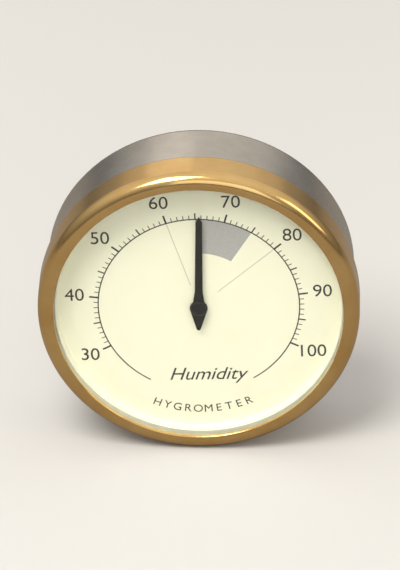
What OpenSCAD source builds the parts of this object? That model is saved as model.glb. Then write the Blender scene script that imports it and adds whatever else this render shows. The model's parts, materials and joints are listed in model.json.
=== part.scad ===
// Dial hygrometer for the inside of a cigar-box lid, held by a magnet on a stick-on steel disc.
// Every module is drawn with the dial facing +Z and 12 o'clock at +Y, then stood up by
// upright(), so that the finished part faces -Y with 12 o'clock at +Z. The origin is the
// centre of the adhesive face that meets the lid. Depths (z_...) are measured from that face.

/* [Case] */
// Outside diameter of the polished bezel
bezel_d = 45; // [44:0.5:48]
// Diameter of the opening that the dial is seen through
opening_d = 40.4; // [39.4:0.2:40.8]
// Depth of the bezel from its front edge to its rear edge
bezel_depth = 5.6; // [5:0.1:6.2]
// Overall depth from the lid to the front edge of the bezel
overall_depth = 16.2; // [15.6:0.1:17]
// Radius of the rounded front shoulder of the bezel
shoulder_r = 1.5; // [1:0.1:1.8]
// Sheet thickness of the drawn steel case
case_wall = 0.6; // [0.5:0.1:0.7]
// Number of air holes in the back of the case
vent_count = 12; // [8:1:14]
// Diameter of each air hole
vent_d = 2.2; // [1.6:0.1:2.6]

/* [Lid fixing] */
// Diameter of the stick-on steel disc
plate_d = 28; // [26:1:30]
// Thickness of the steel disc
plate_t = 0.5; // [0.4:0.1:0.6]
// Diameter of the adhesive foam pad
pad_d = 26; // [24:1:26]
// Thickness of the adhesive foam pad
pad_t = 0.5; // [0.4:0.1:0.6]
// Outside diameter of the ring magnet
magnet_d = 24; // [22:1:24]
// Bore of the ring magnet, which leaves room for a screwdriver
magnet_bore = 11; // [9:1:12]
// Thickness of the ring magnet
magnet_t = 2.2; // [2:0.1:2.3]

/* [Window] */
// Thickness of the glass at its edge
crystal_t = 1.4; // [1.2:0.1:1.5]
// Height of the slight dome on the front of the glass
crystal_dome = 0.35; // [0.1:0.05:0.4]
// Thickness of the seal behind the glass
gasket_t = 0.3; // [0.2:0.05:0.4]
// Height of the cream ring between the dial and the seal
spacer_h = 1.0; // [0.9:0.1:1.1]
// Thickness of the dial plate
dial_t = 0.5; // [0.4:0.1:0.5]

/* [Pointer] */
// Length of the pointer from its pivot to its tip
pointer_len = 14.8; // [12:0.2:17]
// Length of the teardrop tail behind the pivot
pointer_tail = 3.6; // [3.2:0.2:4.6]
// Width of the blade beside the boss
blade_root_w = 1.1; // [0.9:0.05:1.3]
// Width of the blade at its tip
blade_tip_w = 0.9; // [0.6:0.05:1]
// Widest part of the teardrop
tail_w = 2.5; // [2.2:0.1:2.8]
// Thickness of the blade
blade_t = 0.15; // [0.12:0.01:0.18]

/* [Movement] */
// Turns of the humidity coil
coil_turns = 6; // [4:1:7]
// Width of the coil's strip
coil_w = 2.8; // [2:0.1:3]
// Thickness of the bronze layer of the strip
bronze_t = 0.10; // [0.08:0.01:0.12]
// Thickness of the moisture-absorbing layer of the strip
film_t = 0.14; // [0.1:0.01:0.16]
// Radius from the pivot to the post that holds the coil's outer end
post_r = 7.6; // [7:0.1:8]
// Radius from the pivot to the pillars between the movement plates
pillar_r = 15.2; // [14.8:0.1:15.4]
// Width of the arms of the movement plates
arm_w = 3.2; // [2.8:0.1:3.4]

/* [Hidden] */
$fn = 72;

// Gaps: between pressed parts, between parts that turn, and past the ends of a cut
fit = 0.02;
running = 0.03;
loose = 0.3;
cut = 1;

// Radii, from the outside in
bezel_r = bezel_d / 2;
opening_r = opening_d / 2;
bezel_wall = 0.85;
case_r = bezel_r - bezel_wall - fit;
cavity_r = case_r - case_wall;
crystal_r = case_r - 0.25;
case_corner = 0.9;
dial_r = cavity_r - 0.08;
movement_r = dial_r - 1.7;
recess_r = magnet_d / 2 + loose;
hub_head_r = 2.8;
hub_hole_r = hub_head_r + loose;
hub_shank_r = 2.0;
collet_r = 1.5;
staff_r = 0.5;
pivot_r = 0.3;
bush_r = 1.4;

// Depths, from the lid forwards
z_plate = pad_t;
z_magnet = z_plate + plate_t;
z_floor = z_magnet + magnet_t;
z_back = z_floor - 1.9;
z_hub = z_floor - 0.4;
z_washer = z_hub + 1.1;
washer_h = 0.3;
z_rear_plate = z_washer + washer_h;
plate_thickness = 0.6;
z_arm = z_rear_plate + plate_thickness;
arm_t = 0.4;
z_coil = z_arm + arm_t + 0.4;
z_bush = z_coil + coil_w + 0.15;
z_front_plate = z_bush + 0.15;

// Depths, from the front edge of the bezel backwards
z_front = overall_depth;
lip_t = 0.5;
z_crystal_edge = z_front - lip_t;
z_crystal = z_crystal_edge - crystal_t;
z_rim = z_crystal - gasket_t;
z_dial = z_rim - spacer_h;
z_dial_back = z_dial - dial_t;
z_bezel = z_front - bezel_depth;
z_blade = z_dial + 0.55;
screen_t = 0.3;

// Small hardware
pillar_body_r = 1.1;
screw_r = 0.5;
screw_head_r = 1.0;
screw_head_h = 0.5;
screw_bite = 1.0;
pillar_count = 3;
pillar_step = 360 / pillar_count;
first_pillar = 30;
foot_r = 0.7;
foot_at = 10.4;
post_body_r = 0.8;
post_angle = 215;
slit_w = 0.56;
strip_t = bronze_t + film_t;

// Points on a circle arc about (x, y), from angle a to angle b in steps that divide it evenly
function arc(x, y, r, a, b, steps = 8) =
    [for (i = [0:steps]) let (t = a + (b - a) * i / steps) [x + r * cos(t), y + r * sin(t)]];

// Stands a shape up: +Z becomes -Y and +Y becomes +Z
module upright() rotate([90, 0, 0]) children();

module disc(r, z, h) translate([0, 0, z]) cylinder(r = r, h = h);

module ring(r_in, r_out, z, h) difference() {
    disc(r_out, z, h);
    disc(r_in, z - cut, h + 2 * cut);
}

// Copies a shape to each pillar's place
module at_pillars()
    for (i = [0:pillar_count - 1])
        rotate(first_pillar + i * pillar_step) translate([pillar_r, 0, 0]) children();

// Copies a shape to the two places of the dial's feet
module at_feet() for (side = [-1, 1]) translate([0, side * foot_at, 0]) children();

// ---- What stays on the lid ----

module adhesive_pad() color("whitesmoke") disc(pad_d / 2, 0, pad_t);

module wall_plate() color("silver") disc(plate_d / 2, z_plate, plate_t);

module ring_magnet() color("lightgrey") ring(magnet_bore / 2, magnet_d / 2, z_magnet, magnet_t);

// ---- Case and window ----

// The case is one drawn cup. Its back is dished inwards round the magnet.
module case_cup() {
    outside = concat(
        [[hub_hole_r, z_floor], [recess_r, z_floor], [recess_r, z_back]],
        arc(case_r - case_corner, z_back + case_corner, case_corner, -90, 0),
        [[case_r, z_rim], [cavity_r, z_rim]]
    );
    inside = concat(
        arc(case_r - case_corner, z_back + case_corner, case_corner - case_wall, 0, -90),
        [
            [recess_r + case_wall, z_back + case_wall],
            [recess_r + case_wall, z_floor + case_wall],
            [hub_hole_r, z_floor + case_wall]
        ]
    );
    vent_at = (recess_r + case_wall + movement_r) / 2;
    color("silver") difference() {
        rotate_extrude() polygon(concat(outside, inside));
        for (i = [0:vent_count - 1])
            rotate(i * 360 / vent_count) translate([vent_at, 0, 0])
                disc(vent_d / 2, z_back - cut, case_wall + 2 * cut);
    }
}

// Gauze over the air holes, which keeps dust and tobacco out of the movement
module vent_screen()
    color("dimgrey")
        ring(recess_r + case_wall + fit, movement_r - fit, z_back + case_wall, screen_t);

// Moulded ring that stands on the floor of the case and carries the edge of the dial
module movement_ring() {
    z_seat = z_back + case_wall;
    chamfer = case_corner - case_wall + 0.1;
    color("ivory") rotate_extrude() polygon([
        [movement_r, z_seat],
        [dial_r - chamfer, z_seat],
        [dial_r, z_seat + chamfer],
        [dial_r, z_dial_back],
        [movement_r, z_dial_back]
    ]);
}

module bezel_ring() {
    chamfer = 0.25;
    lip_fall = 0.3;
    profile = concat(
        [[case_r + fit, z_bezel], [bezel_r - chamfer, z_bezel], [bezel_r, z_bezel + chamfer]],
        arc(bezel_r - shoulder_r, z_front - shoulder_r, shoulder_r, 0, 90),
        [
            [opening_r + 0.35, z_front],
            [opening_r, z_front - lip_fall],
            [opening_r, z_crystal_edge],
            [case_r + fit, z_crystal_edge]
        ]
    );
    color("gold") rotate_extrude() polygon(profile);
}

// Flat where the bezel's lip bears on it, and domed inside the opening
module crystal() {
    dome_steps = 8;
    dome_r = opening_r - 0.1;
    dome = [
        for (i = [0:dome_steps])
            let (s = 1 - i / dome_steps) [dome_r * s, z_crystal_edge + crystal_dome * (1 - s * s)]
    ];
    color("azure", 0.3) rotate_extrude() polygon(concat(
        [[0, z_crystal], [crystal_r, z_crystal], [crystal_r, z_crystal_edge]], dome
    ));
}

module crystal_gasket() color("gainsboro") ring(opening_r - 0.2, crystal_r, z_rim, gasket_t);

module spacer_ring() color("ivory") ring(opening_r - 0.45, dial_r, z_dial, spacer_h);

// ---- Dial and movement frame ----

module dial_plate() color("ivory") ring(1.0, dial_r, z_dial_back, dial_t);

// Two posts soldered to the back of the dial, which hold it to the front plate
module dial_feet()
    color("peru") at_feet() disc(foot_r, z_front_plate - 0.5, z_dial_back - z_front_plate + 0.5);

module dial_foot_collars()
    color("goldenrod") at_feet() ring(foot_r + fit, 1.3, z_front_plate - 0.45, 0.45);

// A hub with three arms, one to each pillar, and a screw hole at the end of each arm
module movement_plate(z, hub_r, bore_r) difference() {
    arm_start = (hub_r + bore_r) / 2;
    union() {
        disc(hub_r, z, plate_thickness);
        at_pillars() disc(arm_w / 2 + 0.2, z, plate_thickness);
        for (i = [0:pillar_count - 1])
            rotate(first_pillar + i * pillar_step) translate([arm_start, -arm_w / 2, z])
                cube([pillar_r - arm_start, arm_w, plate_thickness]);
    }
    disc(bore_r, z - cut, plate_thickness + 2 * cut);
    at_pillars() disc(screw_r + fit, z - cut, plate_thickness + 2 * cut);
}

module front_plate() color("goldenrod") difference() {
    movement_plate(z_front_plate, foot_at + 1.6, bush_r + fit);
    at_feet() disc(foot_r + fit, z_front_plate - cut, plate_thickness + 2 * cut);
}

module rear_plate()
    color("goldenrod") movement_plate(z_rear_plate, 6, hub_shank_r + running);

module pillars() {
    h = z_front_plate - z_arm;
    color("goldenrod") at_pillars() difference() {
        disc(pillar_body_r, z_arm, h);
        disc(screw_r + fit, z_arm - cut, screw_bite + cut + 0.1);
        disc(screw_r + fit, z_arm + h - screw_bite - 0.1, screw_bite + cut + 0.1);
    }
}

// A cheese-head screw whose head sits on z = 0 and whose shank points down
module screw() {
    slot_w = 0.3;
    slot_h = 0.22;
    difference() {
        union() {
            cylinder(r = screw_head_r, h = screw_head_h);
            translate([0, 0, -plate_thickness - screw_bite])
                cylinder(r = screw_r, h = plate_thickness + screw_bite + 0.1);
        }
        translate([-screw_head_r - cut, -slot_w / 2, screw_head_h - slot_h])
            cube([2 * (screw_head_r + cut), slot_w, slot_h + cut]);
    }
}

module front_plate_screws() color("steelblue")
    at_pillars() translate([0, 0, z_front_plate + plate_thickness]) rotate(20) screw();

module rear_plate_screws() color("steelblue")
    at_pillars() translate([0, 0, z_rear_plate]) rotate([180, 0, 55]) screw();

// Bearing for the front of the staff, pressed into the front plate
module front_bush() color("gold") ring(staff_r + running, bush_r, z_bush, 1.0);

// Dished washer whose pressure holds the adjuster where it is set
module spring_washer() {
    sheet = 0.12;
    inner = hub_shank_r + 0.15;
    outer = hub_shank_r + 1.7;
    color("lightsteelblue") rotate_extrude() polygon([
        [inner, z_washer],
        [outer, z_washer + washer_h - sheet],
        [outer, z_washer + washer_h],
        [inner, z_washer + sheet]
    ]);
}

// ---- Adjuster: turned with a screwdriver to set the reading ----

// Slotted from behind, and bored from the front as the rear bearing of the staff
module adjuster_hub() {
    slot_w = 0.9;
    slot_h = 0.6;
    bore_h = 1.2;
    hub_h = z_arm + arm_t + 0.2 - z_hub;
    color("goldenrod") difference() {
        union() {
            disc(hub_head_r, z_hub, z_washer - z_hub);
            disc(hub_shank_r, z_hub, hub_h);
        }
        translate([-hub_head_r - cut, -slot_w / 2, z_hub - cut])
            cube([2 * (hub_head_r + cut), slot_w, slot_h + cut]);
        disc(pivot_r + running, z_hub + hub_h - bore_h, bore_h + cut);
    }
}

// Arm that carries the outer end of the coil round with the adjuster
module anchor_arm() color("goldenrod") difference() {
    width = 2.2;
    rim = 1.2;
    arm_start = hub_shank_r + rim / 2;
    union() {
        disc(hub_shank_r + rim, z_arm, arm_t);
        rotate(post_angle) translate([arm_start, -width / 2, z_arm])
            cube([post_r - arm_start, width, arm_t]);
        rotate(post_angle) translate([post_r, 0, 0]) disc(width / 2 + 0.2, z_arm, arm_t);
    }
    disc(hub_shank_r + fit, z_arm - cut, arm_t + 2 * cut);
    rotate(post_angle) translate([post_r, 0, 0])
        disc(post_body_r + fit, z_arm - cut, arm_t + 2 * cut);
}

// Split post: the end of the coil and its wedge sit side by side in the slit
module anchor_post() color("gold") rotate(post_angle) difference() {
    translate([post_r, 0, 0]) disc(post_body_r, z_arm, z_coil + coil_w - z_arm);
    translate([post_r - strip_t / 2 - 0.06, -post_body_r - cut, z_coil - 0.1])
        cube([slit_w, 2 * (post_body_r + cut), coil_w + cut]);
}

module coil_wedge() {
    start = post_r + strip_t / 2 + 0.04;
    end = post_r - strip_t / 2 - 0.06 + slit_w;
    color("silver") rotate(post_angle)
        translate([start, -post_body_r, z_coil]) cube([end - start, 2 * post_body_r, coil_w]);
}

// One layer of the spiral strip, between two distances from its mid-line
module spiral_layer(inner, outer) {
    start_r = collet_r + strip_t / 2 + 0.05;
    past_post = 6;
    steps = coil_turns * 30;
    sweep = coil_turns * 360 + past_post;
    edge = function (offset, i)
        let (
            t = i / steps,
            a = post_angle + past_post - sweep * (1 - t),
            r = start_r + (post_r - start_r) * min(1, t * sweep / (sweep - past_post)) + offset
        ) [r * cos(a), r * sin(a)];
    translate([0, 0, z_coil]) linear_extrude(coil_w) polygon(concat(
        [for (i = [0:steps]) edge(outer, i)],
        [for (i = [steps:-1:0]) edge(inner, i)]
    ));
}

module coil_bronze() color("chocolate") spiral_layer(-strip_t / 2, -strip_t / 2 + bronze_t);

module coil_film() color("tan") spiral_layer(-strip_t / 2 + bronze_t, strip_t / 2);

// ---- Pointer ----

// Thin at the rear pivot, full thickness from the coil to the tip
module pointer_staff() {
    shoulder = z_arm + arm_t + 0.3;
    color("silver") union() {
        disc(pivot_r, shoulder - 1.2, 1.3);
        disc(staff_r, shoulder, z_blade + 0.3 - shoulder);
    }
}

module coil_collet() color("gold") ring(staff_r + fit, collet_r, z_coil, coil_w);

module pointer_collet() color("gold") ring(staff_r + fit, 0.85, z_dial + 0.15, z_blade - z_dial - 0.15);

// Tapered blade towards 12 o'clock with a teardrop tail towards 6 o'clock
module pointer_blade() {
    bulb_r = tail_w / 2;
    shoulder = bulb_r * 2.2;
    tip_r = 0.3;
    flank = 50;
    color("black") translate([0, 0, z_blade]) linear_extrude(blade_t) difference() {
        polygon(concat(
            arc(0, 0, bulb_r, 180 + flank / 2, 180 - flank),
            [
                [-blade_root_w / 2, shoulder],
                [-blade_tip_w / 2, pointer_len - blade_tip_w],
                [0, pointer_len],
                [blade_tip_w / 2, pointer_len - blade_tip_w],
                [blade_root_w / 2, shoulder]
            ],
            arc(0, 0, bulb_r, flank, -flank / 2),
            arc(0, -pointer_tail + tip_r, tip_r, -20, -160)
        ));
        circle(r = staff_r + fit);
    }
}

// Domed boss that covers the end of the staff
module pointer_cap() {
    cap_r = 1.1;
    cap_h = 0.42;
    z = z_blade + blade_t;
    pocket = z_blade + 0.3 + fit;
    dome = [
        for (i = [0:5]) let (s = i / 5) [cap_r * cos(90 * s), z + 0.12 + (cap_h - 0.12) * sin(90 * s)]
    ];
    color("black") rotate_extrude() polygon(concat(
        [[staff_r + fit, z], [cap_r, z]], dome, [[0, pocket], [staff_r + fit, pocket]]
    ));
}

upright() adhesive_pad();
upright() wall_plate();
upright() ring_magnet();
upright() case_cup();
upright() vent_screen();
upright() movement_ring();
upright() bezel_ring();
upright() crystal();
upright() crystal_gasket();
upright() spacer_ring();
upright() dial_plate();
upright() dial_feet();
upright() dial_foot_collars();
upright() front_plate();
upright() rear_plate();
upright() pillars();
upright() front_plate_screws();
upright() rear_plate_screws();
upright() front_bush();
upright() spring_washer();
upright() adjuster_hub();
upright() anchor_arm();
upright() anchor_post();
upright() coil_wedge();
upright() coil_bronze();
upright() coil_film();
upright() pointer_staff();
upright() coil_collet();
upright() pointer_collet();
upright() pointer_blade();
upright() pointer_cap();
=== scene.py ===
"""The looks of a dial hygrometer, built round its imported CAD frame.

Sizes are in millimetres in the dial's own frame unless a name says otherwise: x to the
reader's right, y towards 12 o'clock, z from the lid towards the reader. at() turns such a
point into the row frame, in metres. Clock angles are degrees clockwise from 12 o'clock.
"""

import json
import math

import bmesh
import bpy
from mathutils import Matrix, Vector


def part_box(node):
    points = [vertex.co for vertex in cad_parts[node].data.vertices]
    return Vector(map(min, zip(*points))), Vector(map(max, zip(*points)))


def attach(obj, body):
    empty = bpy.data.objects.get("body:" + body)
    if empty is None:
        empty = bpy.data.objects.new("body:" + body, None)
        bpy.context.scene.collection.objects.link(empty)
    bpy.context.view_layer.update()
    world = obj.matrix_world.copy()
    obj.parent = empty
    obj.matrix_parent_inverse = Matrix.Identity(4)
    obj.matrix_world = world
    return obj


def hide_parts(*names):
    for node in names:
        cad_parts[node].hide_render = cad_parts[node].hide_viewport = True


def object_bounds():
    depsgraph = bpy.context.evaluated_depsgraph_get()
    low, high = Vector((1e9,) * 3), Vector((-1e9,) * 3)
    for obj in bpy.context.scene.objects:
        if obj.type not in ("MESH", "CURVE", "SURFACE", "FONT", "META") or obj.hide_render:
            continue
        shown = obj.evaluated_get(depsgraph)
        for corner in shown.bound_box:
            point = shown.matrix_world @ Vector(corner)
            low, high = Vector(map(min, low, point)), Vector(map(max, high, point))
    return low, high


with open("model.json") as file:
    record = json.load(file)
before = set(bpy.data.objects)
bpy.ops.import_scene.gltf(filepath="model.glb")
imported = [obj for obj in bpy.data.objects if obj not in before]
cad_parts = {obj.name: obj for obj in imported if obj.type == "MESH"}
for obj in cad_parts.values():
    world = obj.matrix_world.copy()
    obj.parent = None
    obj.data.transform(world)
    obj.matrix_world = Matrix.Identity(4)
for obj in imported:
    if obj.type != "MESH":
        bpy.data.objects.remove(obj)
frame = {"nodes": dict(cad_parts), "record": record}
cad_low, cad_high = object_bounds()

# ---- Sizes ----

MM = 0.001
SEGMENTS = 256

# Sheet thickness of the case, thickness of the bezel's lip over the glass, and the gap from the
# edge of the glass to the bezel's wall
CASE_WALL = 0.6
LIP = 0.5
GLASS_GAP = 0.27
VENTS = 12
VENT_R = 1.1

# The scale: relative humidity in per cent, with 65 at 12 o'clock
SCALE_LOW, SCALE_HIGH, SCALE_TOP = 30, 100, 65
DEGREES_PER_PERCENT = 10 / 3
TRACK_R = 14.05
TRACK_WIDTH = 0.17
TRACK_END = 149
# Length and width of the strokes at each ten, each five and each single per cent
TEN_STROKE, FIVE_STROKE, ONE_STROKE = (1.3, 0.26), (1.0, 0.2), (0.65, 0.12)
NUMERAL_R = 17.4
NUMERAL_SIZE = 2.8
IDEAL_LOW, IDEAL_HIGH = 65, 75
IDEAL_INNER_R = 8.6
HAIRLINE_R, HAIRLINE_WIDTH = 3.6, 0.12
TITLE_R, TITLE_SIZE, TITLE_STEP = 17.1, 1.75, 4.9
# The case sits turned a little on its magnet, and the printing with it
PRINT_TURN = -2.2
INK_DEEP = 0.01
INK_PROUD = 0.012

# The camera: where the photograph was taken from, seen from the dial
CAMERA_AZIMUTH, CAMERA_ELEVATION = 1.65, 31.85
CAMERA_DISTANCE_M = 0.743
WIDTH_SHARE = 0.80
FRAME_W, FRAME_H = 400, 570
SENSOR_MM = 36
BACKDROP = (0.80, 0.775, 0.735, 1)


def at(x, y, z):
    return Vector((x, -z, y)) * MM


def clock(radius, degrees):
    """The (x, y) point at a clock angle."""
    a = math.radians(degrees)
    return radius * math.sin(a), radius * math.cos(a)


def humidity_angle(percent):
    return (percent - SCALE_TOP) * DEGREES_PER_PERCENT


def extent(node):
    """(inner radius, outer radius, rear depth, front depth) of a round CAD node."""
    points = [v.co / MM for v in frame["nodes"][node].data.vertices]
    radii = [math.hypot(p.x, p.z) for p in points]
    depths = [-p.y for p in points]
    return min(radii), max(radii), min(depths), max(depths)


# ---- Meshes ----


def shade(piece, sharp_degrees=32):
    """Smooth shading but for the sharp edges, with flat faces kept flat beside their fillets."""
    piece.data.shade_smooth()
    piece.data.set_sharp_from_angle(angle=math.radians(sharp_degrees))
    normals = piece.modifiers.new("even normals", "WEIGHTED_NORMAL")
    normals.keep_sharp = True


def finish_mesh(name, bm, sharp_degrees=32):
    """A shaded object from bm."""
    bmesh.ops.remove_doubles(bm, verts=bm.verts, dist=1e-8)
    bmesh.ops.recalc_face_normals(bm, faces=bm.faces)
    mesh = bpy.data.meshes.new(name)
    bm.to_mesh(mesh)
    bm.free()
    piece = bpy.data.objects.new(name, mesh)
    bpy.context.scene.collection.objects.link(piece)
    shade(piece, sharp_degrees)
    return piece


def rounded(corners, arc_steps=5):
    """The outline through (radius, depth, fillet) corners, with each corner turned by its fillet."""
    outline = []
    for i, (radius, depth, fillet) in enumerate(corners):
        corner = Vector((radius, depth))
        if not fillet:
            outline.append(corner)
            continue
        back = (Vector(corners[i - 1][:2]) - corner).normalized()
        on = (Vector(corners[(i + 1) % len(corners)][:2]) - corner).normalized()
        half = back.angle(on) / 2
        centre = corner + (back + on).normalized() * fillet / math.sin(half)
        start = corner + back * fillet / math.tan(half) - centre
        end = corner + on * fillet / math.tan(half) - centre
        for k in range(arc_steps + 1):
            outline.append(centre + start.slerp(end, k / arc_steps).normalized() * fillet)
    return outline


def lathe(name, outline, sharp_degrees=32):
    """A solid of revolution from (radius, depth) points in order round its section."""
    bm = bmesh.new()
    rings = []
    for k in range(SEGMENTS):
        turn = 360 * k / SEGMENTS
        rings.append([bm.verts.new(at(*clock(r, turn), z)) for r, z in outline])
    for k in range(SEGMENTS):
        here, there = rings[k], rings[(k + 1) % SEGMENTS]
        for i in range(len(outline)):
            j = (i + 1) % len(outline)
            if outline[i][0] > 1e-6 or outline[j][0] > 1e-6:
                bm.faces.new((here[i], here[j], there[j], there[i]))
    return finish_mesh(name, bm, sharp_degrees)


def tube_outline(r_in, r_out, z_low, z_high, edge):
    """The section of a plain ring with its edges broken by a small fillet."""
    corners = [(r_in, z_low), (r_out, z_low), (r_out, z_high), (r_in, z_high)]
    return rounded([(r, z, edge) for r, z in corners], arc_steps=3)


def drill(piece, holes, z_low, z_high, edge):
    """Cuts round holes, given as (x, y, radius), through piece, with both their edges broken."""
    bm = bmesh.new()
    sides = 32
    past = 0.3
    for x, y, radius in holes:
        levels = [
            (radius + edge + past, z_low - past),
            (radius, z_low + edge),
            (radius, z_high - edge),
            (radius + edge + past, z_high + past),
        ]
        rings = []
        for r, z in levels:
            turns = [clock(r, 360 * k / sides) for k in range(sides)]
            rings.append([bm.verts.new(at(x + dx, y + dy, z)) for dx, dy in turns])
        bm.faces.new(rings[0])
        bm.faces.new(rings[-1])
        for low, high in zip(rings, rings[1:]):
            for k in range(sides):
                n = (k + 1) % sides
                bm.faces.new((low[k], low[n], high[n], high[k]))
    cutter = finish_mesh("cutter", bm)
    cutter.modifiers.clear()
    piece.modifiers.clear()
    cut = piece.modifiers.new("holes", "BOOLEAN")
    cut.operation = "DIFFERENCE"
    cut.solver = "EXACT"
    cut.object = cutter
    piece.data = bpy.data.meshes.new_from_object(
        piece.evaluated_get(bpy.context.evaluated_depsgraph_get())
    )
    piece.modifiers.clear()
    bpy.data.objects.remove(cutter)
    shade(piece)


class Print:
    """Flat printing on the dial: thin closed shapes that stand a hair proud of the paint."""

    def __init__(self, face, proud=INK_PROUD):
        self.bm = bmesh.new()
        self.low = face - INK_DEEP
        self.high = face + proud

    def prism(self, points):
        """A thin solid over a convex outline of (x, y) points."""
        low = [self.bm.verts.new(at(x, y, self.low)) for x, y in points]
        high = [self.bm.verts.new(at(x, y, self.high)) for x, y in points]
        self.bm.faces.new(low)
        self.bm.faces.new(high)
        for i in range(len(points)):
            j = (i + 1) % len(points)
            self.bm.faces.new((low[i], low[j], high[j], high[i]))

    def band(self, r_in, r_out, start, end):
        """An arc-shaped band between two clock angles."""
        steps = max(2, round(abs(end - start)))
        rows = []
        for k in range(steps + 1):
            turn = start + (end - start) * k / steps
            inner, outer = clock(r_in, turn), clock(r_out, turn)
            corners = [(inner, self.low), (outer, self.low), (outer, self.high), (inner, self.high)]
            rows.append([self.bm.verts.new(at(*p, z)) for p, z in corners])
        self.bm.faces.new(rows[0])
        self.bm.faces.new(rows[-1])
        for here, there in zip(rows, rows[1:]):
            for i in range(4):
                j = (i + 1) % 4
                self.bm.faces.new((here[i], here[j], there[j], there[i]))

    def stroke(self, r_in, r_out, turn, width):
        """A straight radial line."""
        a = math.radians(turn)
        side = Vector((math.cos(a), -math.sin(a))) * width / 2
        inner, outer = Vector(clock(r_in, turn)), Vector(clock(r_out, turn))
        self.prism([inner - side, outer - side, outer + side, inner + side])

    def words(self, text, size, x, y, turn=0.0, slant=0.0):
        """Text in Blender's own font, centred on (x, y) and turned anticlockwise by turn degrees."""
        curve = bpy.data.curves.new("words", "FONT")
        curve.body = text
        curve.size = size
        curve.shear = slant
        curve.align_x = "CENTER"
        curve.align_y = "CENTER"
        curve.extrude = (self.high - self.low) / 2
        holder = bpy.data.objects.new("words", curve)
        bpy.context.scene.collection.objects.link(holder)
        shape = bpy.data.meshes.new_from_object(
            holder.evaluated_get(bpy.context.evaluated_depsgraph_get())
        )
        c, s = math.cos(math.radians(turn)), math.sin(math.radians(turn))
        middle = (self.low + self.high) / 2
        for v in shape.vertices:
            v.co = at(x + c * v.co.x - s * v.co.y, y + s * v.co.x + c * v.co.y, middle + v.co.z)
        self.bm.from_mesh(shape)
        bpy.data.objects.remove(holder)
        bpy.data.meshes.remove(shape)

    def piece(self, name):
        """The printing so far as one object, turned with the case."""
        turned = Matrix.Rotation(math.radians(PRINT_TURN), 3, "Y")
        bmesh.ops.rotate(self.bm, verts=self.bm.verts, matrix=turned)
        return finish_mesh(name, self.bm)


# ---- Materials ----


class Look:
    """A Principled material whose patterns are nodes fed by object coordinates in millimetres.

    A noise's scale is in features to the millimetre.
    """

    def __init__(self, name, **values):
        self.material = bpy.data.materials.new(name)
        self.material.use_nodes = True
        self.tree = self.material.node_tree
        self.shader = self.tree.nodes["Principled BSDF"]
        for socket, value in values.items():
            self.shader.inputs[socket.replace("_", " ")].default_value = value
        place = self.node("ShaderNodeTexCoord").outputs["Object"]
        self.mm = self.vector("SCALE", place, Scale=1 / MM)

    def node(self, kind, inputs=None, **settings):
        made = self.tree.nodes.new(kind)
        for key, value in settings.items():
            setattr(made, key, value)
        for key, value in (inputs or {}).items():
            if isinstance(value, bpy.types.NodeSocket):
                self.tree.links.new(value, made.inputs[key])
            else:
                made.inputs[key].default_value = value
        return made

    def vector(self, operation, a, b=None, **inputs):
        given = {0: a, **inputs}
        if b is not None:
            given[1] = b
        return self.node("ShaderNodeVectorMath", given, operation=operation).outputs[0]

    def math(self, operation, a, b=0.0):
        return self.node("ShaderNodeMath", {0: a, 1: b}, operation=operation).outputs[0]

    def polar(self):
        """(unit direction round the axis, radius, depth), in millimetres."""
        flat = self.vector("MULTIPLY", self.mm, (1.0, 0.0, 1.0))
        radius = self.node("ShaderNodeVectorMath", {0: flat}, operation="LENGTH").outputs["Value"]
        depth = self.math("MULTIPLY", self.node("ShaderNodeSeparateXYZ", {0: self.mm}).outputs["Y"], -1.0)
        return self.vector("NORMALIZE", flat), radius, depth

    def spun(self, along, across):
        """Coordinates that draw any noise out into lines round the axis, as turning does.

        along is how quickly a line changes on its way round, and across how fine the lines are.
        """
        around, radius, depth = self.polar()
        course = self.math("ADD", radius, self.math("MULTIPLY", depth, 1.7))
        offset = self.node("ShaderNodeCombineXYZ", {"Y": self.math("MULTIPLY", course, across)})
        return self.vector("ADD", self.vector("SCALE", around, Scale=along), offset.outputs[0])

    def scratched(self):
        """Coordinates that draw any noise out into long thin marks across the piece."""
        askew = self.node("ShaderNodeMapping", {"Vector": self.mm, "Rotation": (0.3, 0.9, 0.5)})
        return self.vector("MULTIPLY", askew.outputs[0], (0.10, 3.2, 3.2))

    def noise(self, scale, detail=3.0, roughness=0.55, place=None):
        inputs = {"Vector": place or self.mm, "Scale": scale, "Detail": detail, "Roughness": roughness}
        return self.node("ShaderNodeTexNoise", inputs).outputs["Fac"]

    def cells(self, scale, feature="F1"):
        inputs = {"Vector": self.mm, "Scale": scale}
        return self.node("ShaderNodeTexVoronoi", inputs, feature=feature).outputs["Distance"]

    def spread(self, value, low, high, from_low=0.3, from_high=0.7):
        """value moved from its own range to low..high."""
        inputs = {"Value": value, 1: from_low, 2: from_high, 3: low, 4: high}
        return self.node("ShaderNodeMapRange", inputs).outputs[0]

    def blend(self, share, a, b):
        inputs = {"Factor": share, 6: a, 7: b}
        return self.node("ShaderNodeMix", inputs, data_type="RGBA").outputs[2]

    def colour(self, socket):
        self.tree.links.new(socket, self.shader.inputs["Base Color"])

    def roughness(self, socket):
        self.tree.links.new(socket, self.shader.inputs["Roughness"])

    def relief(self, height, distance_mm, strength=1.0):
        inputs = {"Height": height, "Distance": distance_mm * MM, "Strength": strength}
        bump = self.node("ShaderNodeBump", inputs)
        self.tree.links.new(bump.outputs[0], self.shader.inputs["Normal"])


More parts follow.
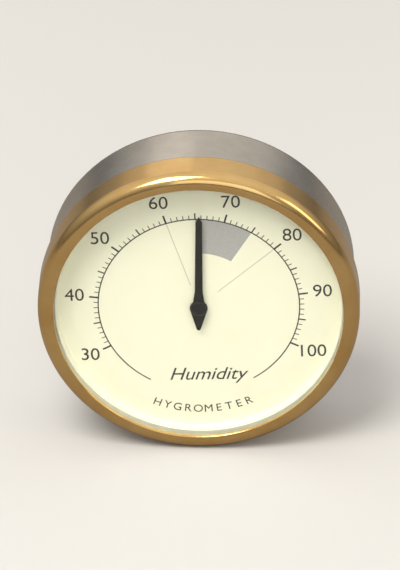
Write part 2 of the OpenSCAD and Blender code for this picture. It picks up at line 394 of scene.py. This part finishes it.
def spun_metal(name, light, dark, rough_low, rough_high, line_depth, coat=0.0):
    """Turned metal: fine lines round the axis, soft tarnish, rubbed patches and a few scratches."""
    look = Look(name, Metallic=1.0, Coat_Weight=coat, Coat_Roughness=0.08)
    lines = look.noise(1.0, detail=5.0, place=look.spun(1.6, 16.0))
    tarnish = look.spread(look.noise(0.16, detail=5.0, roughness=0.6), 0.0, 1.0)
    streaks = look.spread(lines, 0.0, 0.45, 0.45, 0.7)
    look.colour(look.blend(look.math("MAXIMUM", tarnish, streaks), light, dark))
    rubbed = look.noise(0.5, detail=4.0)
    uneven = look.math("ADD", look.math("MULTIPLY", lines, 0.6), look.math("MULTIPLY", rubbed, 0.4))
    marks = look.noise(1.0, detail=1.0, place=look.scratched())
    scratches = look.spread(marks, 0.0, 0.10, 0.70, 0.76)
    look.roughness(look.math("ADD", look.spread(uneven, rough_low, rough_high), scratches))
    look.relief(lines, line_depth)
    return look.material


def plain_metal(name, light, dark, rough_low, rough_high, grain=1.5):
    """Metal with a fine even grain, for small turned and stamped parts."""
    look = Look(name, Metallic=1.0)
    mottle = look.noise(grain, detail=4.0)
    look.colour(look.blend(look.spread(mottle, 0.0, 1.0), light, dark))
    look.roughness(look.spread(look.noise(grain * 4), rough_low, rough_high))
    look.relief(look.noise(grain * 7), 0.004)
    return look.material


def enamel():
    """Cream dial paint: faintly mottled, and a little darker towards the edge, which is painted shade
    under the bezel.
    """
    look = Look("cream enamel", Coat_Weight=0.15, Coat_Roughness=0.2)
    _, radius, _ = look.polar()
    mottle = look.spread(look.noise(0.5, detail=5.0), 0.0, 0.5)
    # Painted shade: the paint darkens towards the rim, where the bezel's lip shades the dial
    edge = look.spread(radius, 0.0, 0.5, 15.0, 21.0)
    # Random mottle plus the painted shade at the rim
    mottle_and_rim_shade = look.math("ADD", mottle, edge)
    look.colour(look.blend(mottle_and_rim_shade, (0.93, 0.91, 0.74, 1), (0.90, 0.87, 0.67, 1)))
    look.roughness(look.spread(look.noise(3.0), 0.32, 0.46))
    look.relief(look.noise(5.0, detail=2.0), 0.006)
    return look.material


def printing(name, dark, light):
    """Ink with slightly uneven cover."""
    look = Look(name)
    look.colour(look.blend(look.spread(look.noise(3.5, detail=5.0), 0.0, 1.0), dark, light))
    look.roughness(look.spread(look.noise(6.0), 0.42, 0.6))
    return look.material


def moulded(name, light, dark, rough=0.45):
    """Moulded plastic with a fine texture."""
    look = Look(name)
    look.colour(look.blend(look.spread(look.noise(0.7, detail=4.0), 0.0, 1.0), light, dark))
    look.roughness(look.spread(look.noise(2.5), rough - 0.06, rough + 0.08))
    look.relief(look.noise(9.0, detail=3.0), 0.008)
    return look.material


def glass():
    """Clear glass that lets the lamps through to the dial."""
    look = Look("window glass", Transmission_Weight=1.0, IOR=1.5, Roughness=0.0)
    look.shader.inputs["Base Color"].default_value = (0.985, 1.0, 0.985, 1)
    smears = look.noise(0.12, detail=5.0)
    look.roughness(look.spread(smears, 0.0, 0.035, 0.5, 0.85))
    clear = look.node("ShaderNodeBsdfTransparent", {"Color": (0.97, 0.98, 0.96, 1)})
    path = look.node("ShaderNodeLightPath")
    shadow = look.node(
        "ShaderNodeMixShader",
        {0: path.outputs["Is Shadow Ray"], 1: look.shader.outputs[0], 2: clear.outputs[0]},
    )
    surface = look.tree.nodes["Material Output"].inputs["Surface"]
    look.tree.links.new(shadow.outputs[0], surface)
    return look.material


def magnet_plating():
    """Semi-bright nickel over a sintered ring, with pits and rubbed marks."""
    look = Look("magnet plating", Metallic=1.0)
    rub = look.noise(0.35, detail=6.0, roughness=0.65)
    look.colour(look.blend(look.spread(rub, 0.0, 1.0), (0.66, 0.63, 0.59, 1), (0.44, 0.42, 0.40, 1)))
    look.roughness(look.spread(look.noise(1.2, detail=5.0), 0.20, 0.42))
    pits = look.spread(look.cells(2.6), 0.0, 1.0, 0.0, 0.25)
    look.relief(pits, 0.02)
    return look.material


def zinc():
    """Zinc plating with the soft patches of a dipped sheet."""
    look = Look("zinc plating", Metallic=1.0)
    patches = look.spread(look.cells(0.8, "SMOOTH_F1"), 0.0, 1.0, 0.1, 0.8)
    look.colour(look.blend(patches, (0.62, 0.62, 0.64, 1), (0.40, 0.41, 0.43, 1)))
    look.roughness(look.spread(look.noise(2.0, detail=6.0), 0.28, 0.5))
    look.relief(look.noise(8.0, detail=4.0), 0.006)
    return look.material


def foam():
    """Closed-cell foam tape."""
    look = Look("foam tape")
    pores = look.cells(7.0)
    soiled = look.blend(look.noise(0.25, detail=5.0), (0.84, 0.83, 0.80, 1), (0.76, 0.74, 0.69, 1))
    # The pores are darker: painted shade in the pits. The rest of the tone is random soiling.
    look.colour(look.blend(look.spread(pores, 0.0, 1.0, 0.1, 0.6), (0.66, 0.64, 0.60, 1), soiled))
    look.roughness(look.spread(look.noise(3.0), 0.75, 0.92))
    look.relief(pores, 0.06)
    return look.material


def gauze():
    """Fine plain-woven gauze."""
    look = Look("gauze", Sheen_Weight=0.2)
    threads = [
        look.node(
            "ShaderNodeTexWave",
            {"Vector": look.mm, "Scale": 1.1, "Distortion": 0.15, "Detail": 1.0},
            bands_direction=direction,
        ).outputs["Fac"]
        for direction in ("X", "Z")
    ]
    weave = look.math("MAXIMUM", *threads)
    look.colour(look.blend(weave, (0.004, 0.004, 0.004, 1), (0.09, 0.085, 0.08, 1)))
    look.roughness(look.spread(look.noise(4.0), 0.7, 0.9))
    look.relief(weave, 0.08)
    return look.material


def satin_black():
    """Thin black paint on the pointer, with dust in it."""
    look = Look("pointer black", Specular_IOR_Level=0.25)
    dust = look.spread(look.noise(9.0, detail=2.0), 0.0, 1.0, 0.62, 0.75)
    look.colour(look.blend(dust, (0.004, 0.004, 0.004, 1), (0.030, 0.028, 0.026, 1)))
    look.roughness(look.spread(look.noise(2.0), 0.28, 0.42))
    look.relief(look.noise(12.0), 0.003)
    return look.material


def floor_paint():
    """Pale paint that runs into the backdrop far away, and that metal mirrors as a darker room."""
    look = Look("studio floor")
    path = look.node("ShaderNodeLightPath")
    pale = look.blend(look.noise(0.004), (0.66, 0.65, 0.635, 1), (0.63, 0.62, 0.605, 1))
    look.colour(look.blend(path.outputs["Is Glossy Ray"], pale, (0.23, 0.21, 0.185, 1)))
    look.roughness(look.spread(look.noise(0.02), 0.6, 0.75))
    away = look.node("ShaderNodeVectorMath", {0: look.mm}, operation="LENGTH").outputs["Value"]
    haze = look.spread(away, 0.0, 1.0, 200.0, 1100.0)
    haze.node.interpolation_type = "SMOOTHSTEP"
    backdrop = look.node("ShaderNodeEmission", {"Color": BACKDROP, "Strength": 1.0})
    floor = look.node(
        "ShaderNodeMixShader",
        {
            0: look.math("MULTIPLY", haze, path.outputs["Is Camera Ray"]),
            1: look.shader.outputs[0],
            2: backdrop.outputs[0],
        },
    )
    look.tree.links.new(floor.outputs[0], look.tree.nodes["Material Output"].inputs["Surface"])
    return look.material


GOLD = spun_metal(
    "gold lacquered brass", (0.89, 0.61, 0.26, 1), (0.78, 0.49, 0.18, 1), 0.09, 0.20, 0.0010, coat=0.2
)
NICKEL = spun_metal("nickel plate", (0.71, 0.68, 0.63, 1), (0.58, 0.55, 0.50, 1), 0.16, 0.28, 0.0015)
BRASS = plain_metal("raw brass", (0.76, 0.52, 0.22, 1), (0.60, 0.38, 0.14, 1), 0.22, 0.36)
STEEL = plain_metal("polished steel", (0.56, 0.56, 0.58, 1), (0.42, 0.42, 0.44, 1), 0.16, 0.3)
BLUED = plain_metal("blued steel", (0.05, 0.08, 0.20, 1), (0.02, 0.03, 0.09, 1), 0.2, 0.32)
BRONZE = plain_metal("rolled bronze", (0.58, 0.34, 0.18, 1), (0.42, 0.23, 0.11, 1), 0.26, 0.4)
FILM = moulded("humidity film", (0.70, 0.60, 0.42, 1), (0.58, 0.47, 0.30, 1), 0.75)
CREAM_PLASTIC = moulded("cream plastic", (0.91, 0.89, 0.75, 1), (0.86, 0.83, 0.68, 1))
# Paler than the seal's own cream: painted light on the band that the bezel's lip shades
SEAL_PAINTED_LIGHTER = moulded("seal", (0.92, 0.90, 0.77, 1), (0.87, 0.84, 0.71, 1), 0.5)
BLACK = satin_black()
INK = printing("black ink", (0.012, 0.012, 0.011, 1), (0.03, 0.03, 0.027, 1))
GREY_INK = printing("grey ink", (0.40, 0.39, 0.385, 1), (0.45, 0.44, 0.43, 1))
PALE_INK = printing("pale ink", (0.55, 0.52, 0.42, 1), (0.62, 0.59, 0.48, 1))


def dress(piece, material, body, slot, *nodes):
    """Gives a new piece its material and body, and hides the CAD nodes it stands for."""
    piece.data.materials.clear()
    piece.data.materials.append(material)
    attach(piece, body)
    if nodes:
        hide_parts(*nodes)
    return piece


# ---- Lid fixing and magnet ----


def make_fixing():
    _, pad_r, low, high = extent("adhesive_pad")
    pad = lathe("foam_pad", rounded([(0, low, 0), (pad_r, low, 0.05), (pad_r, high, 0.05), (0, high, 0)]))
    dress(pad, foam(), "lid_fixing", "foam_tape", "adhesive_pad")
    _, plate_r, low, high = extent("wall_plate")
    outline = rounded([(0, low, 0), (plate_r, low, 0.18), (plate_r, high, 0.06), (0, high, 0)])
    plate = lathe("steel_disc", outline)
    dress(plate, zinc(), "lid_fixing", "zinc_steel", "wall_plate")
    bore_r, magnet_r, low, high = extent("ring_magnet")
    magnet = lathe("magnet_ring", tube_outline(bore_r, magnet_r, low, high, 0.16))
    dress(magnet, magnet_plating(), "magnet", "plated_magnet", "ring_magnet")


# ---- Case ----


def make_case():
    """The drawn steel cup, with its air holes."""
    hole_r, case_r, low, high = extent("case_cup")
    screen_in, movement_r, floor_in, _ = extent("vent_screen")
    fit = 0.02
    recess_r = screen_in - CASE_WALL - fit
    _, _, _, shelf = extent("ring_magnet")
    # Two points part way across the flat back keep its shading even round the air holes
    corners = [
        (hole_r, shelf, 0.08),
        (recess_r, shelf, 0.15),
        (recess_r, low, 0.3),
        (recess_r + 0.5, low, 0),
        (case_r - 1.5, low, 0),
        (case_r, low, 0.9),
        (case_r, high, 0.05),
        (case_r - CASE_WALL, high, 0.05),
        (case_r - CASE_WALL, floor_in, 0.3),
        (recess_r + CASE_WALL, floor_in, 0.1),
        (recess_r + CASE_WALL, shelf + CASE_WALL, 0.3),
        (hole_r, shelf + CASE_WALL, 0.08),
    ]
    case = lathe("case_body", rounded(corners, arc_steps=7))
    vent_at = (screen_in + movement_r) / 2
    holes = [(*clock(vent_at, 90 + 360 * k / VENTS), VENT_R) for k in range(VENTS)]
    drill(case, holes, low, floor_in, edge=0.12)
    dress(case, NICKEL, "case", "case_nickel", "case_cup")


def make_bezel():
    """The pressed bezel: a straight wall, a round shoulder and a lip that holds the glass."""
    opening_r, bezel_r, low, front = extent("bezel_ring")
    _, crystal_r, _, _ = extent("crystal")
    inner_r = crystal_r + GLASS_GAP
    corners = [
        (inner_r, low, 0.06),
        (bezel_r, low, 0.32),
        (bezel_r, front, 1.6),
        (opening_r, front, 0.22),
        (opening_r, front - LIP, 0.05),
        (inner_r, front - LIP, 0),
    ]
    bezel = lathe("bezel", rounded(corners, arc_steps=14))
    dress(bezel, GOLD, "case", "gold_brass", "bezel_ring")


def make_window():
    """The glass, slightly domed, its seal, and the cream ring between glass and dial."""
    _, crystal_r, low, top = extent("crystal")
    opening_r, _, _, front = extent("bezel_ring")
    edge_z = front - LIP
    dome_r = opening_r - 0.1
    steps = 28
    dome = []
    for k in range(steps + 1):
        share = 1 - k / steps
        dome.append((dome_r * share, edge_z + (top - edge_z) * (1 - share * share)))
    outline = [(0, low), (crystal_r, low), (crystal_r, edge_z), *dome]
    window = lathe("window", outline, sharp_degrees=20)
    dress(window, glass(), "case", "window_glass", "crystal")
    seal_in, seal_r, low, high = extent("crystal_gasket")
    seal = lathe("seal_ring", tube_outline(seal_in, seal_r, low, high, 0.06))
    dress(seal, SEAL_PAINTED_LIGHTER, "case", "seal", "crystal_gasket")
    ring_in, ring_r, low, high = extent("spacer_ring")
    corners = [(ring_in, low, 0), (ring_r, low, 0), (ring_r, high, 0.05), (ring_in + 0.12, high, 0.1)]
    spacer = lathe("cream_ring", rounded(corners))
    dress(spacer, CREAM_PLASTIC, "case", "cream_plastic", "spacer_ring")


# ---- Dial ----


def make_dial():
    """The enamelled plate and everything printed on it."""
    hole_r, dial_r, low, face = extent("dial_plate")
    plate = lathe("dial", tube_outline(hole_r, dial_r, low, face, 0.05))
    dress(plate, enamel(), "case", "dial_paint", "dial_plate")
    print_ideal_range(face)
    print_scale(face)
    print_wording(face)


def print_ideal_range(face):
    """The grey zone, and the two hairlines that run in from the scale."""
    zone = Print(face, proud=0.006)
    zone.band(IDEAL_INNER_R, TRACK_R, humidity_angle(IDEAL_LOW), humidity_angle(IDEAL_HIGH))
    dress(zone.piece("ideal_zone"), GREY_INK, "case", "dial_paint")

    hairlines = Print(face, proud=0.007)
    for percent in (60, 80):
        hairlines.stroke(HAIRLINE_R, TRACK_R, humidity_angle(percent), HAIRLINE_WIDTH)
    dress(hairlines.piece("hairlines"), PALE_INK, "case", "dial_paint")


def print_scale(face):
    """The ring with its strokes, and the numerals outside it."""
    scale = Print(face)
    scale.band(TRACK_R - TRACK_WIDTH / 2, TRACK_R + TRACK_WIDTH / 2, -TRACK_END, TRACK_END)
    for percent in range(SCALE_LOW, SCALE_HIGH + 1):
        if percent % 10 == 0:
            length, width = TEN_STROKE
        elif percent % 5 == 0:
            length, width = FIVE_STROKE
        else:
            length, width = ONE_STROKE
        scale.stroke(TRACK_R, TRACK_R + length, humidity_angle(percent), width)
    dress(scale.piece("scale_track"), INK, "case", "dial_paint")

    numerals = Print(face)
    for percent in range(SCALE_LOW, SCALE_HIGH + 1, 10):
        x, y = clock(NUMERAL_R, humidity_angle(percent))
        numerals.words(str(percent), NUMERAL_SIZE, x, y)
    dress(numerals.piece("numerals"), INK, "case", "dial_paint")


def print_wording(face):
    """A slanted word above 6 o'clock, and an arched one below it."""
    wording = Print(face)
    wording.words("Humidity", size=2.9, x=0.7, y=-11.3, slant=0.35)
    title = "HYGROMETER"
    for k, letter in enumerate(title):
        turn = 180 - (k - (len(title) - 1) / 2) * TITLE_STEP
        x, y = clock(TITLE_R, turn)
        wording.words(letter, TITLE_SIZE, x, y, turn=180 - turn)
    dress(wording.piece("wording"), INK, "case", "dial_paint")


# ---- Pointer ----


def arc(radius, start, end, steps, x=0.0, y=0.0):
    """Points on an arc, by ordinary angles in degrees from +x."""
    points = []
    for k in range(steps + 1):
        a = math.radians(start + (end - start) * k / steps)
        points.append((x + radius * math.cos(a), y + radius * math.sin(a)))
    return points


def make_blade():
    """The flat pointer: a teardrop round the pivot and a slim blade with a pointed tip."""
    low_corner, high_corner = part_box("pointer_blade")
    length, tail = high_corner.z / MM, -low_corner.z / MM
    half_width = high_corner.x / MM
    rear, front = -high_corner.y / MM, -low_corner.y / MM
    tail_r = 0.3
    shoulder = half_width * 2.2
    root, tip = 1.1 / 2, 0.9 / 2
    edge = 0.05
    outline = [
        *arc(half_width, 205, 130, 12),
        (-root, shoulder),
        (-tip, length - 2 * tip),
        (0.0, length),
        (tip, length - 2 * tip),
        (root, shoulder),
        *arc(half_width, 50, -25, 12),
        *arc(tail_r, -20, -160, 8, y=-tail + tail_r),
    ]
    bm = bmesh.new()
    top = bm.faces.new([bm.verts.new(at(x, y, front)) for x, y in outline])
    grown = bmesh.ops.extrude_face_region(bm, geom=[top])
    moved = [v for v in grown["geom"] if isinstance(v, bmesh.types.BMVert)]
    bmesh.ops.translate(bm, verts=moved, vec=at(0, 0, rear) - at(0, 0, front))
    rim = [e for e in bm.edges if all(abs(-v.co.y / MM - front) < 1e-4 for v in e.verts)]
    bmesh.ops.bevel(bm, geom=rim, offset=edge * MM, segments=2, affect="EDGES", profile=0.5)
    blade = finish_mesh("pointer", bm)
    dress(blade, BLACK, "pointer", "black_paint", "pointer_blade")


def make_boss():
    """The domed cap over the end of the pointer's staff."""
    _, cap_r, low, high = extent("pointer_cap")
    rim_height = 0.12
    steps = 12
    dome = []
    for k in range(steps + 1):
        a = math.radians(90 * k / steps)
        rise = (high - low - rim_height) * math.sin(a)
        dome.append((cap_r * math.cos(a), low + rim_height + rise))
    cap = lathe("pointer_boss", [(0, low), (cap_r, low), *dome])
    dress(cap, BLACK, "pointer", "black_paint", "pointer_cap")


# ---- CAD nodes that stay ----


def paint_frame():
    """Materials for the CAD nodes that are shown as they are."""
    materials = {
        "gauze": gauze(),
        "cream_plastic": CREAM_PLASTIC,
        "raw_brass": BRASS,
        "blued_steel": BLUED,
        "spring_steel": STEEL,
        "bronze_strip": BRONZE,
        "humidity_film": FILM,
    }
    for part in frame["record"]["subparts"]:
        material = materials.get(part["material_slot"])
        node = frame["nodes"][part["node"]]
        if material:
            node.data.materials.clear()
            node.data.materials.append(material)


# ---- Stage ----


def make_floor():
    half_side_m = 2.0
    bm = bmesh.new()
    bmesh.ops.create_grid(bm, x_segments=1, y_segments=1, size=half_side_m)
    floor = finish_mesh("floor", bm)
    floor.location = (0, 0, cad_low.z)
    floor.data.materials.append(floor_paint())


def area_light(name, azimuth, elevation, distance, size, watts, colour=(1, 1, 1), mirrored=True):
    """A flat lamp that faces the object, placed as the camera is, in metres and degrees.

    One that isn't mirrored leaves no bright spot on metal or glass.
    """
    data = bpy.data.lights.new(name, "AREA")
    data.shape = "RECTANGLE"
    data.size, data.size_y = size
    data.energy = watts
    data.color = colour
    lamp = bpy.data.objects.new(name, data)
    lamp.visible_glossy = mirrored
    lamp.location = centre + direction(azimuth, elevation) * distance
    lamp.rotation_mode = "QUATERNION"
    lamp.rotation_quaternion = (centre - lamp.location).to_track_quat("-Z", "Y")
    bpy.context.scene.collection.objects.link(lamp)


def direction(azimuth, elevation):
    """From the object outwards: azimuth 0 is in front of the dial and 90 at the reader's right."""
    a, e = math.radians(azimuth), math.radians(elevation)
    return Vector((math.sin(a) * math.cos(e), -math.cos(a) * math.cos(e), math.sin(e)))


def make_lights():
    """A key lamp at the upper left, fill from the front and side, and light for the metal's back edge."""
    warm_white = (1.0, 0.97, 0.92)
    area_light("key", -33, 60, 0.60, (0.24, 0.30), 1.5, warm_white)
    area_light("key spread", -33, 60, 0.60, (0.24, 0.30), 1.6, warm_white, mirrored=False)
    area_light("front fill", 8, 22, 0.80, (0.5, 0.4), 0.5)
    area_light("front spread", 8, 22, 0.80, (0.5, 0.4), 2.1, mirrored=False)
    area_light("side", 64, 26, 0.75, (0.25, 0.35), 0.5, (1.0, 0.90, 0.72))
    area_light("back card", 180, 32, 0.80, (1.3, 0.4), 0.25, (1.0, 0.82, 0.62))
    area_light("glint", -166, 30, 0.80, (0.22, 0.20), 0.03, (1.0, 0.86, 0.78))


def make_world():
    """A plain pale surround, a little darker low down where metal mirrors it."""
    world = bpy.data.worlds.new("studio")
    world.use_nodes = True
    tree = world.node_tree
    tree.nodes.clear()
    place = tree.nodes.new("ShaderNodeTexCoord")
    split = tree.nodes.new("ShaderNodeSeparateXYZ")
    ramp = tree.nodes.new("ShaderNodeValToRGB")
    path = tree.nodes.new("ShaderNodeLightPath")
    light = tree.nodes.new("ShaderNodeBackground")
    backdrop = tree.nodes.new("ShaderNodeBackground")
    choice = tree.nodes.new("ShaderNodeMixShader")
    out = tree.nodes.new("ShaderNodeOutputWorld")
    stops = [(0.0, 0.16), (0.3, 0.36), (0.6, 0.66), (1.0, 0.85)]
    ramp.color_ramp.elements.remove(ramp.color_ramp.elements[1])
    for i, (at_height, grey) in enumerate(stops):
        stop = ramp.color_ramp.elements[0] if i == 0 else ramp.color_ramp.elements.new(at_height)
        stop.position = at_height
        stop.color = (grey, grey * 0.97, grey * 0.92, 1)
    light.inputs["Strength"].default_value = 1.0
    backdrop.inputs["Color"].default_value = BACKDROP
    link = tree.links.new
    link(place.outputs["Generated"], split.inputs[0])
    link(split.outputs["Z"], ramp.inputs[0])
    link(ramp.outputs[0], light.inputs["Color"])
    link(path.outputs["Is Camera Ray"], choice.inputs[0])
    link(light.outputs[0], choice.inputs[1])
    link(backdrop.outputs[0], choice.inputs[2])
    link(choice.outputs[0], out.inputs["Surface"])
    bpy.context.scene.world = world


def make_camera():
    data = bpy.data.cameras.new("camera")
    data.sensor_width = SENSOR_MM
    width_m = cad_high.x - cad_low.x
    data.lens = SENSOR_MM * CAMERA_DISTANCE_M * WIDTH_SHARE * FRAME_W / FRAME_H / width_m
    data.clip_start, data.clip_end = 0.01, 20
    camera = bpy.data.objects.new("camera", data)
    back = direction(CAMERA_AZIMUTH, CAMERA_ELEVATION)
    camera.location = centre + back * CAMERA_DISTANCE_M
    camera.rotation_mode = "QUATERNION"
    camera.rotation_quaternion = (-back).to_track_quat("-Z", "Y")
    bpy.context.scene.collection.objects.link(camera)
    bpy.context.scene.camera = camera


centre = (cad_low + cad_high) / 2

make_fixing()
make_case()
make_bezel()
make_window()
make_dial()
make_blade()
make_boss()
paint_frame()
make_floor()
make_world()
make_camera()
make_lights()
bpy.context.scene.view_settings.view_transform = "Standard"
